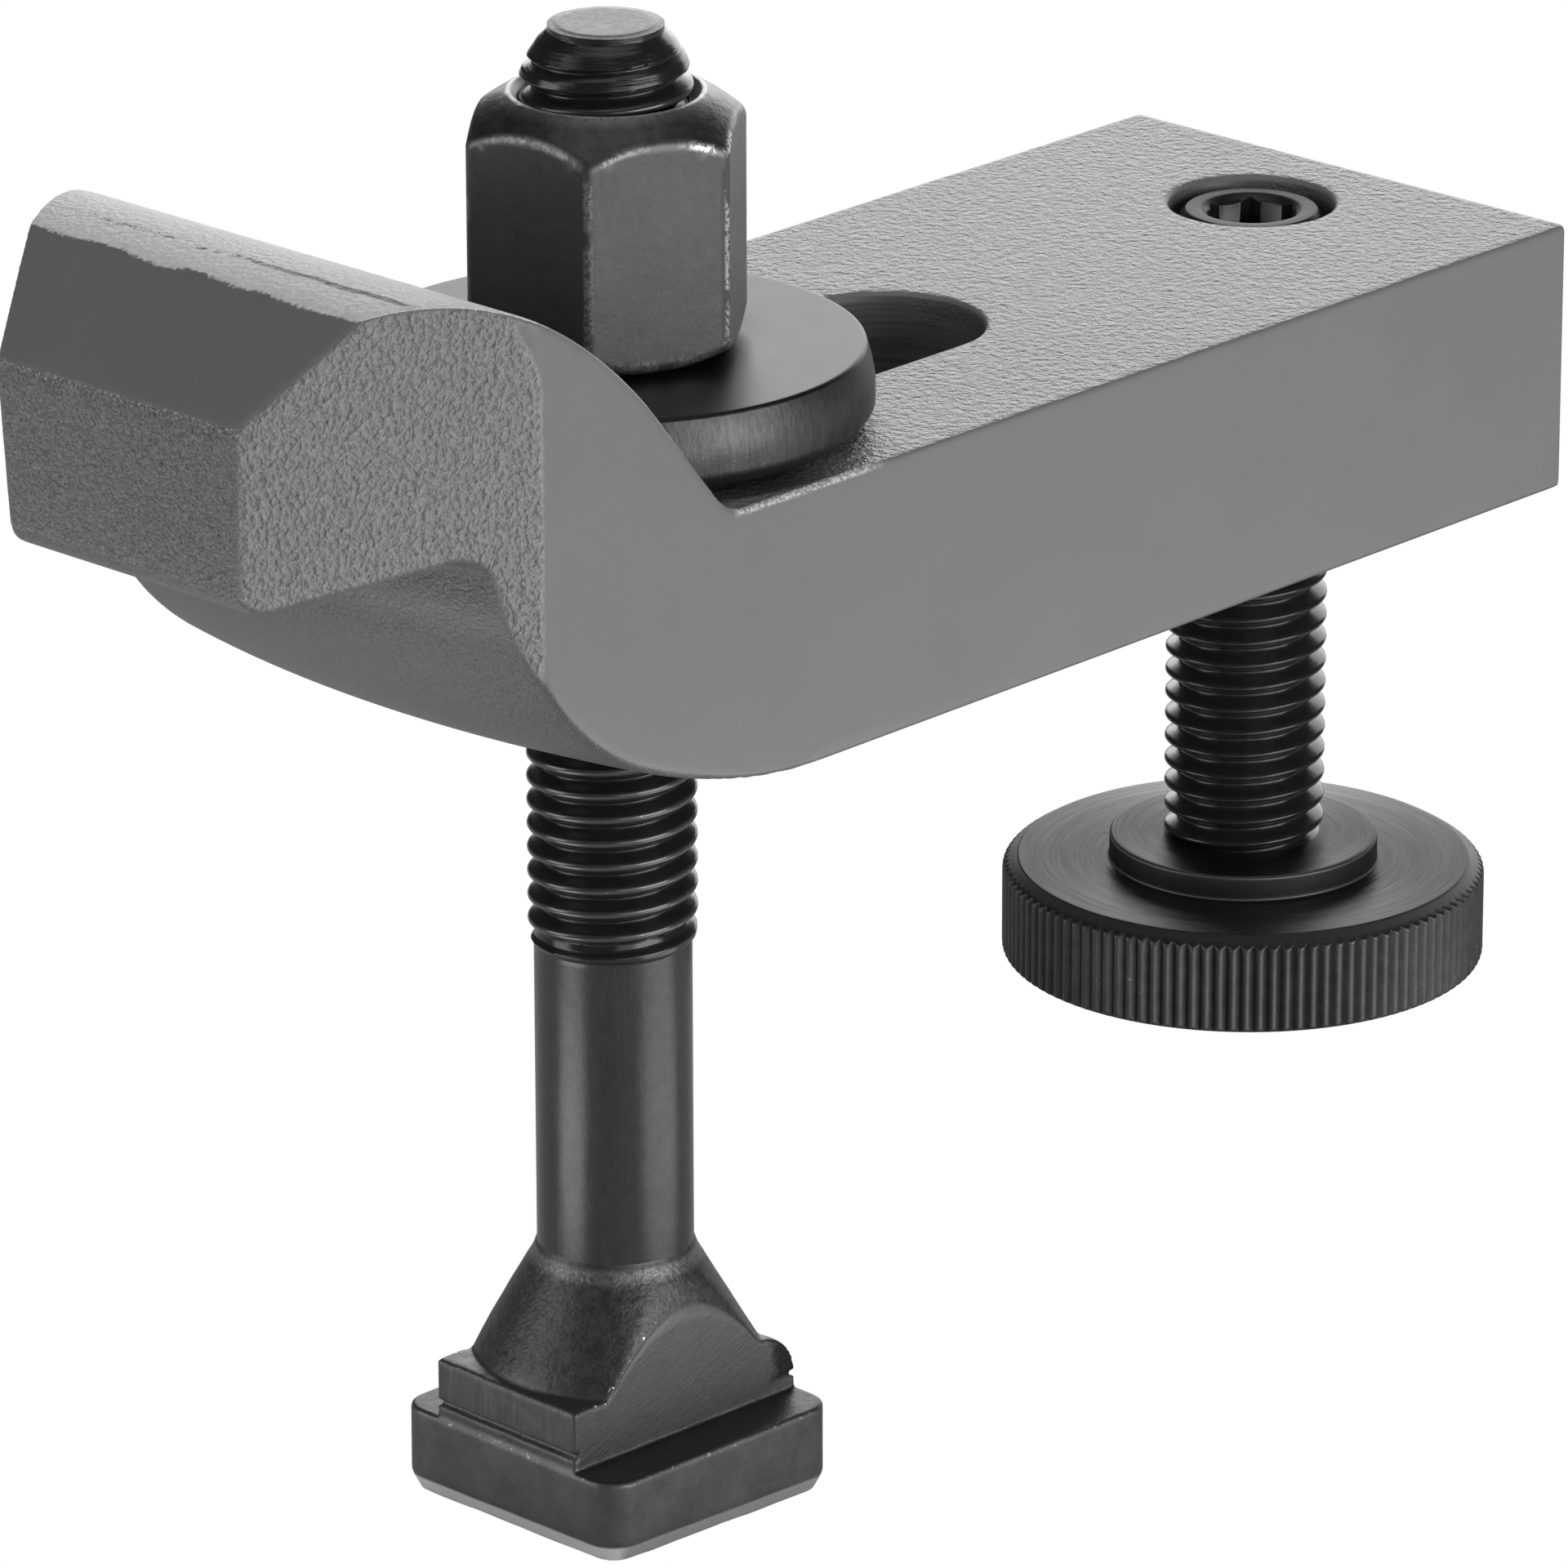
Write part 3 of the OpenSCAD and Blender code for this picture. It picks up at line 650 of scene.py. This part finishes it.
def foot_material():
    """Turned and knurled foot, blackened; fine rings stretch the reflections into sectors."""
    n = Nodes("foot_steel")
    cy = SUPPORT_Y * MM
    ang, r = n.polar(0.0, cy)
    fine = n.noise(0.22, 3.0, 0.65)
    mid = n.noise(1.2, 3.0, 0.55)
    flat = n.ramp(n.nz, 0.85, 0.97)
    rings = n.noise(0.20, 3.0, 0.7, vec=n.vec(r, n.mul(ang, 0.0004), 0.0))
    band = n.noise(1.3, 2.0, 0.5, vec=n.vec(r, 0.0, 0.0))
    ribs = n.mul(n.ramp(r, 0.01715, 0.01735), n.ramp(n.z, 0.0070, 0.0066))
    tip = n.mul(ribs, n.ramp(r, 0.01770, 0.01788))
    chip = n.ramp(n.noise(0.9, 3.0, 0.7), 0.66, 0.74)
    base = n.add(n.mul(n.sub(mid, 0.5), 0.02), 0.050)
    base = n.mix(flat, base, n.add(n.mul(n.sub(rings, 0.5), 0.05), n.add(n.mul(n.sub(band, 0.5), 0.03), 0.044)))
    bevel = n.mul(n.ramp(n.nz, 0.20, 0.40), n.sub(1.0, flat))
    base = n.mix(bevel, base, 0.11)
    base = n.mix(ribs, base, n.add(n.mul(n.sub(mid, 0.5), 0.05), 0.048))
    base = n.add(base, n.mul(tip, n.add(n.mul(chip, 0.16), 0.03)))
    base = n.mx(base, 0.008)
    r_ = n.add(n.mul(n.sub(rings, 0.5), 0.20), 0.39)
    r_ = n.mix(ribs, r_, 0.36)
    h = n.mix(flat, n.mul(fine, 0.006), n.add(n.mul(rings, 0.024), n.add(n.mul(band, 0.06), n.mul(fine, 0.003))))
    h = n.mix(ribs, h, n.add(n.mul(fine, 0.02), n.mul(mid, 0.03)))
    return n.finish(color=base, rough=r_, metallic=0.7, normal=n.bump(h, 1.0), ior=1.5, aniso=0.8,
                    tangent=turned(n, 0.0, cy))


M_LACQUER = lacquer()
M_BLACK = nut_steel()
M_THREAD = thread_steel()
M_HEAD = forged_steel()
M_WASHER = washer_material()
M_FOOT = foot_material()


# ---------------------------------------------------------------- strap
def build_strap():
    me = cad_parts["strap"].data
    v = np.empty(len(me.vertices) * 3, np.float32)
    me.vertices.foreach_get("co", v)
    me.calc_loop_triangles()
    t = np.empty(len(me.loop_triangles) * 3, np.int32)
    me.loop_triangles.foreach_get("vertices", t)
    v = v.reshape(-1, 3) * 1000
    vox = 0.27
    g = vdb.FloatGrid.createLevelSetFromPolygons(v, triangles=t.reshape(-1, 3).astype(np.uint32),
                                                 transform=vdb.createLinearTransform(vox), halfWidth=7.0)
    lo, hi = g.evalActiveVoxelBoundingBox()
    lo = np.array(lo)
    a = np.zeros(tuple(int(h - l + 1) for l, h in zip(lo, hi)), np.float32)
    g.copyToArray(a, ijk=tuple(int(x) for x in lo))
    soft = blur(a, 0.6)
    softer = blur(a, 1.8)
    ax = [(np.arange(a.shape[k]) + lo[k]) * vox for k in range(3)]
    Y = ax[1][None, :, None]
    Z = ax[2][None, None, :]
    # forged crank: softer edges than the bar
    w = (1 - smooth01(Y, -14.0, -6.0)) * np.ones_like(a)
    w *= 0.55 - 0.45 * smooth01(Z, 70.0, 75.5)
    f = soft * (1 - w) + softer * w
    p, q, tr, n = field_mesh(f, lo * vox, vox, 0.004)
    # lower corner of the array is voxel lo
    ob = mesh_object("strap_body", p, q, tr, [M_LACQUER], normals=n)
    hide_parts("strap")
    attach(ob, "strap")
    return ob


# ---------------------------------------------------------------- washer
def build_washer():
    r0, b = 18.3, 6.75
    prof = [(b, 58.6), (b + 0.12, 58.35), (b + 0.4, 58.1), (17.1, 58.1), (17.28, 58.15), (17.42, 58.26), (18.1, 58.94),
            (18.22, 59.10), (18.29, 59.28), (18.3, 59.5), (18.3, 60.4), (18.28, 60.9), (18.19, 61.5), (18.07, 62.1), (17.91, 62.7),
            (17.74, 63.26), (17.70, 63.38), (17.64, 63.46), (17.55, 63.5), (17.4, 63.5), (12.0, 63.5), (b + 0.5, 63.5),
            (b + 0.2, 63.42), (b + 0.05, 63.25), (b, 63.0)]
    R = np.array([x for x, _ in prof])
    Z = np.array([z for _, z in prof])
    seg = 288
    v, q, t = lathe(np.repeat(R[:, None], seg, 1), np.repeat(Z[:, None], seg, 1), closed=True)
    ob = mesh_object("washer_disc", v, q, None, [M_WASHER], sharp=50)
    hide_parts("washer")
    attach(ob, "washer")


# ---------------------------------------------------------------- nut
def bolt_radius(phi, z):
    t = (z - 27.30) / PITCH - phi / (2 * np.pi)
    return THREAD_R - thread_drop(t)


def build_nut():
    vox = 0.17
    lo, hi = np.array([-11.2, -11.2, 62.6]), np.array([11.2, 11.2, 82.4])
    (X, Y, Z), _ = grid_points(lo, hi, vox)
    X, Y, Z = (a.astype(np.float32) for a in (X, Y, Z))
    r = np.sqrt(X * X + Y * Y)
    phi = np.arctan2(Y, X)
    slabs = []
    for k in range(3):
        a = NUT_TURN + math.radians(30 + 60 * k)
        slabs.append(np.abs(X * math.cos(a) + Y * math.sin(a)) - 9.0)
    hexa = round_max(0.38, *slabs)
    zc = NUT_TOP - math.sqrt(14.5 ** 2 - 6.6 ** 2)
    dome = np.sqrt(X * X + Y * Y + (Z - zc) ** 2) - 14.5
    under = (r - (8.05 + (Z - WASHER_TOP) * math.tan(math.radians(60)))) * 0.5
    f = round_max(0.32, hexa, dome)
    f = round_max(0.25, f, under)
    f = round_max(0.12, f, Z - NUT_TOP, WASHER_TOP - Z)
    bore = (bolt_radius(phi, Z) + 0.07) - r
    mouth = ((6.6 + (Z - NUT_TOP)) - r) * 0.7071
    below = ((6.95 - (Z - WASHER_TOP)) - r) * 0.7071
    f = round_max(0.10, f, np.maximum(mouth, below))
    f = np.maximum(f, bore * 0.6)
    p, q, t, n = field_mesh(f, lo, vox, 0.006)
    ob = mesh_object("nut_body", p, q, t, [M_BLACK], normals=n)
    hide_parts("nut")
    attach(ob, "nut")


# ---------------------------------------------------------------- bolt
def build_bolt():
    seg = 144
    phi = np.arange(seg) * 2 * np.pi / seg
    z = np.concatenate([np.arange(-3.6, 18.8, 1.2), np.arange(19.0, 83.4, PITCH / 16), np.arange(83.4, 86.05, 0.06)])
    Z, P = np.meshgrid(z, phi, indexing="ij")
    R = bolt_radius(P, Z)
    # run-out: the ridge sinks into the shank
    env = np.interp(Z, [19.2, 19.75, 20.05, 21.3, 82.5, 83.8, 84.95, 86.1], [5.54, 5.56, 5.82, 5.95, 5.95, 5.43, 4.69, 3.47])
    floor = np.interp(Z, [19.9, 21.2, 22.6], [5.54, 5.20, 4.0])
    R = np.maximum(np.minimum(R, env), floor)
    R = np.where(Z < 19.2, 5.54, R)
    # end face with a rounded rim
    rim = [(86.09, 3.45), (86.115, 3.41), (86.13, 3.35), (86.13, 3.0), (86.12, 1.6)]
    Rr = np.array([np.full(seg, b) for _, b in rim])
    Zr = np.array([np.full(seg, a) for a, _ in rim])
    R, Z = np.vstack([R, Rr]), np.vstack([Z, Zr])
    v, q, t = lathe(R, Z)
    ob = mesh_object("bolt_thread", v, q, t, [M_THREAD], sharp=70)
    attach(ob, "t_bolt")

    vox = 0.2
    lo, hi = np.array([-12.4, -12.4, -22.9]), np.array([12.4, 12.4, 0.8])
    (X, Y, Z), _ = grid_points(lo, hi, vox)
    c, s = math.cos(HEAD_TURN), math.sin(HEAD_TURN)
    U, V = X * c + Y * s, -X * s + Y * c
    r = np.sqrt(X * X + Y * Y)
    pts = np.stack([X, Y, Z], -1)
    forge = fractal(pts, 5.0, 11, 3)
    small = fractal(pts, 1.3, 23, 2)
    cone = (r - (5.54 + (-3.1 - Z) * math.tan(math.radians(30)))) * math.cos(math.radians(30))
    cone = cone + 0.07 * forge + 0.02 * small
    cone = np.maximum(cone, Z + 3.1)
    stub = np.maximum(r - 5.50, Z - 0.2)
    cone = round_min(0.5, cone, stub)
    flats = np.abs(U) - 7.0
    ends = np.abs(V) - 10.8
    shaft = np.maximum(cone, -15.0 - Z)
    lid = Z + 11.1 + 0.10 * forge + 0.05 * small
    near_end = round_max(0.3, -V - 10.8 + 0.05 * forge, lid)
    far_end = round_max(3.2, V - 10.8 + 0.08 * forge, lid + 0.12 * forge)
    neck = np.maximum(near_end, far_end)
    neck = np.maximum(neck, -15.0 - Z)
    groove = np.maximum(np.abs(Z + 14.42) - 0.22, 10.35 - np.abs(V))
    base = np.maximum(np.abs(V) - (10.55 + (-14.6 - Z) * 0.45), Z + 14.6)
    up = np.minimum(neck, shaft)
    up = np.maximum(up, -groove)
    up = np.minimum(up, np.maximum(base, -15.9 - Z))
    up = round_max(0.12 + 0.9 * smooth01(Z, -10.0, -5.5), np.maximum(up, ends - 0.02), flats)
    q2 = 2.3
    du, dv = np.abs(U) - (11.0 - q2), np.abs(V) - (11.0 - q2)
    plan = np.sqrt(np.maximum(du, 0) ** 2 + np.maximum(dv, 0) ** 2) + np.minimum(np.maximum(du, dv), 0) - q2
    tilt = Z - 0.0169 * U + 0.0218 * V
    cham = (np.maximum(plan, -3.0) + 0.70 - (tilt + 22.05) * 0.52) * 0.88
    head = round_max(0.3, plan + 0.03 * forge, np.maximum(-22.05 - tilt, Z + 15.5))
    head = round_max(0.10, head, cham)
    f = np.minimum(up, head)
    p, q, t, n = field_mesh(f, lo, vox, 0.0)
    ob = mesh_object("bolt_head", p, q, t, [M_HEAD], normals=n)
    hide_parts("t_bolt")
    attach(ob, "t_bolt")


# ---------------------------------------------------------------- support screw
def hex_radius(phi, af, turn):
    a = (phi - turn) % (np.pi / 3)
    return (af / 2) / np.cos(a - np.pi / 6)


def build_support():
    seg = 120
    phi = np.arange(seg) * 2 * np.pi / seg
    z = np.concatenate([np.arange(8.6, 56.2, PITCH / 16), np.arange(56.2, 57.45, 0.06)])
    Z, P = np.meshgrid(z, phi, indexing="ij")
    t = (Z - 15.676) / PITCH - P / (2 * np.pi)
    R = 5.93 - thread_drop(t, 0.22, 0.19)
    env = np.interp(Z, [56.3, 57.45], [5.95, 4.86])
    R = np.minimum(R, env)
    hx = hex_radius(phi, 6.0, HEX_TURN)
    rows = [(np.full(seg, 4.84), 57.48), (np.full(seg, 4.78), 57.53), (np.full(seg, 4.6), SCREW_TOP),
            (np.full(seg, 4.2), SCREW_TOP), (np.full(seg, 3.85), SCREW_TOP), (np.full(seg, 3.72), 57.52),
            (np.full(seg, 3.62), 57.46)]
    Rr = [a for a, _ in rows] + [hx + (3.62 - hx) * 0.5, hx, hx, hx * 0.98, hx * 0.5]
    Zr = [np.full(seg, b) for _, b in rows]
    edge = 57.46 - (3.62 - hx) * 0.9
    Zr += [(edge + 57.46) / 2, edge, np.full(seg, 50.6), np.full(seg, 50.5), np.full(seg, 50.1)]
    R, Z = np.vstack([R, np.array(Rr)]), np.vstack([Z, np.array(Zr)])
    v, q, tr = lathe(R, Z, centre=(0.0, SUPPORT_Y))
    ob = mesh_object("support_thread", v, q, tr, [M_THREAD], sharp=50)
    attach(ob, "support_screw")

    ribs = 112
    seg = ribs * 8
    phi = np.arange(seg) * 2 * np.pi / seg
    zs = [0.0, 0.0, 0.0, 0.04, 0.12, 0.22, 0.34, 0.46, 0.6, 0.8, 1.2, 2.0, 3.0, 4.0, 5.0, 5.8, 6.2, 6.4, 6.55, 6.7,
          6.85, 7.0, 7.12, 7.22, 7.28, 7.3, 7.3, 7.3]
    rs = [6.0, 14.0, 17.62, 17.72, 17.80, 17.86, 17.9, 17.9, 17.9, 17.9, 17.9, 17.9, 17.9, 17.9, 17.9, 17.9, 17.9, 17.88,
          17.78, 17.64, 17.42, 17.18, 16.98, 16.80, 16.70, 16.5, 13.0, 10.6]
    zs, rs = np.array(zs), np.array(rs)
    R = np.repeat(rs[:, None], seg, 1)
    rib = 17.9 - 0.40 * (1 - np.abs(np.cos(phi * ribs / 2)) ** 1.2)
    knurl = (zs > 0.02) & (zs < 7.25)
    R[knurl] = np.minimum(R[knurl], rib[None, :])
    more = [(10.12, 7.3), (10.04, 7.32), (9.98, 7.38), (9.95, 7.48), (9.95, 7.7), (9.95, 8.9), (9.93, 9.05),
            (9.86, 9.15), (9.75, 9.2), (9.5, 9.2), (6.0, 9.2), (3.0, 9.2)]
    R = np.vstack([R, np.array([np.full(seg, a) for a, _ in more])])
    Z = np.concatenate([zs, [b for _, b in more]])
    Z = np.repeat(Z[:, None], seg, 1)
    v, q, tr = lathe(R, Z, centre=(0.0, SUPPORT_Y))
    ob = mesh_object("support_foot", v, q, tr, [M_FOOT], sharp=60)
    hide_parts("support_screw")
    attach(ob, "support_screw")


build_strap()
build_washer()
build_nut()
build_bolt()
build_support()


# ---------------------------------------------------------------- floor, light and camera
def panel(name, target, direction, distance, size, watts, shape="RECTANGLE"):
    d = Vector(direction).normalized()
    light = bpy.data.lights.new(name, "AREA")
    light.shape = shape
    light.size = size[0]
    if shape == "RECTANGLE":
        light.size_y = size[1]
    light.energy = watts
    ob = bpy.data.objects.new(name, light)
    bpy.context.scene.collection.objects.link(ob)
    ob.location = Vector(target) + d * distance
    ob.rotation_euler = d.to_track_quat("Z", "Y").to_euler()
    ob.visible_camera = False
    return ob


MID = (0.0, 0.015, 0.035)
LIGHTS = [
    ("top", MID, (0.0, 0.0, 1.0), 0.6, (0.5, 0.5), 0.58),
    ("back", MID, (-0.5, 0.85, 0.22), 0.7, (0.7, 0.4), 1.95),
    ("back_sheet", MID, (-0.641, 0.685, 0.346), 0.7, (0.45, 0.3), 0.50),
    ("right", MID, (1.0, 0.12, 0.12), 0.6, (0.45, 0.4), 2.27),
    ("right_front", MID, (0.9, -0.45, 0.15), 0.6, (0.3, 0.4), 0.40),
    ("front_left", MID, (-0.6, -0.8, 0.15), 0.7, (0.35, 0.4), 1.09),
    ("front_high", MID, (-0.32, -0.76, 0.56), 0.5, (0.22, 0.30), 0.18),
]
for name, target, d, dist, size, watts in LIGHTS:
    panel(name, target, d, dist, size, watts)
# two bright patches of the table top, which show as light bands on the round shank
panel("patch_left", (-0.0260, -0.0756, 0.1), (0, 0, -1), 0.1215, (0.06, 0.06), 0.028, "DISK")
panel("patch_right", (0.0828, 0.0352, 0.1), (0, 0, -1), 0.1215, (0.09, 0.09), 0.036, "DISK")

world = bpy.data.worlds.new("studio")
bpy.context.scene.world = world
world.use_nodes = True
wt = world.node_tree
wt.nodes.clear()
wo = wt.nodes.new("ShaderNodeOutputWorld")
wb = wt.nodes.new("ShaderNodeBackground")
wc = wt.nodes.new("ShaderNodeBackground")
wm = wt.nodes.new("ShaderNodeMixShader")
lp = wt.nodes.new("ShaderNodeLightPath")
wb.inputs["Color"].default_value = (1, 1, 1, 1)
wb.inputs["Strength"].default_value = 0.05
wc.inputs["Color"].default_value = (1, 1, 1, 1)
wc.inputs["Strength"].default_value = 1.0
wt.links.new(lp.outputs["Is Camera Ray"], wm.inputs[0])
wt.links.new(wb.outputs[0], wm.inputs[1])
wt.links.new(wc.outputs[0], wm.inputs[2])
wt.links.new(wm.outputs[0], wo.inputs[0])

floor_mesh = bpy.data.meshes.new("floor")
s = 1.2
floor_mesh.from_pydata([(-s, -s, -0.0226), (s, -s, -0.0226), (s, s, -0.0226), (-s, s, -0.0226)], [], [(0, 1, 2, 3)])
floor = bpy.data.objects.new("floor", floor_mesh)
bpy.context.scene.collection.objects.link(floor)
fm = Nodes("pale_floor")
fm.finish(color=0.85, rough=0.9)
# the floor reads as even white paper and still bounces light as matt card does
fe = fm.new("ShaderNodeEmission")
fe.inputs["Strength"].default_value = 1.0
fp = fm.new("ShaderNodeLightPath")
fx = fm.new("ShaderNodeMixShader")
fm.link(fp.outputs["Is Camera Ray"], fx.inputs[0])
fm.link(fm.bsdf.outputs[0], fx.inputs[1])
fm.link(fe.outputs[0], fx.inputs[2])
fm.link(fx.outputs[0], fm.out.inputs[0])
floor_mesh.materials.append(fm.mat)

cam = bpy.data.cameras.new("camera")
cam.sensor_width = 36.0
cam.lens = 253.13
cam.clip_start, cam.clip_end = 0.05, 20.0
cam_ob = bpy.data.objects.new("camera", cam)
bpy.context.scene.collection.objects.link(cam_ob)
Rv, Uv, Fv = Vector((0.730582, 0.682822, -0.002187)), Vector((-0.235074, 0.25452, 0.938062)), Vector((-0.641086, 0.684817, -0.346461))
m = Matrix.Identity(4)
for k in range(3):
    m[k][0], m[k][1], m[k][2] = Rv[k], Uv[k], -Fv[k]
m[0][3], m[1][3], m[2][3] = 0.4992943, -0.5158699, 0.2962117
cam_ob.matrix_world = m
bpy.context.scene.camera = cam_ob
bpy.context.scene.view_settings.view_transform = "Standard"
bpy.context.scene.view_settings.look = "None"
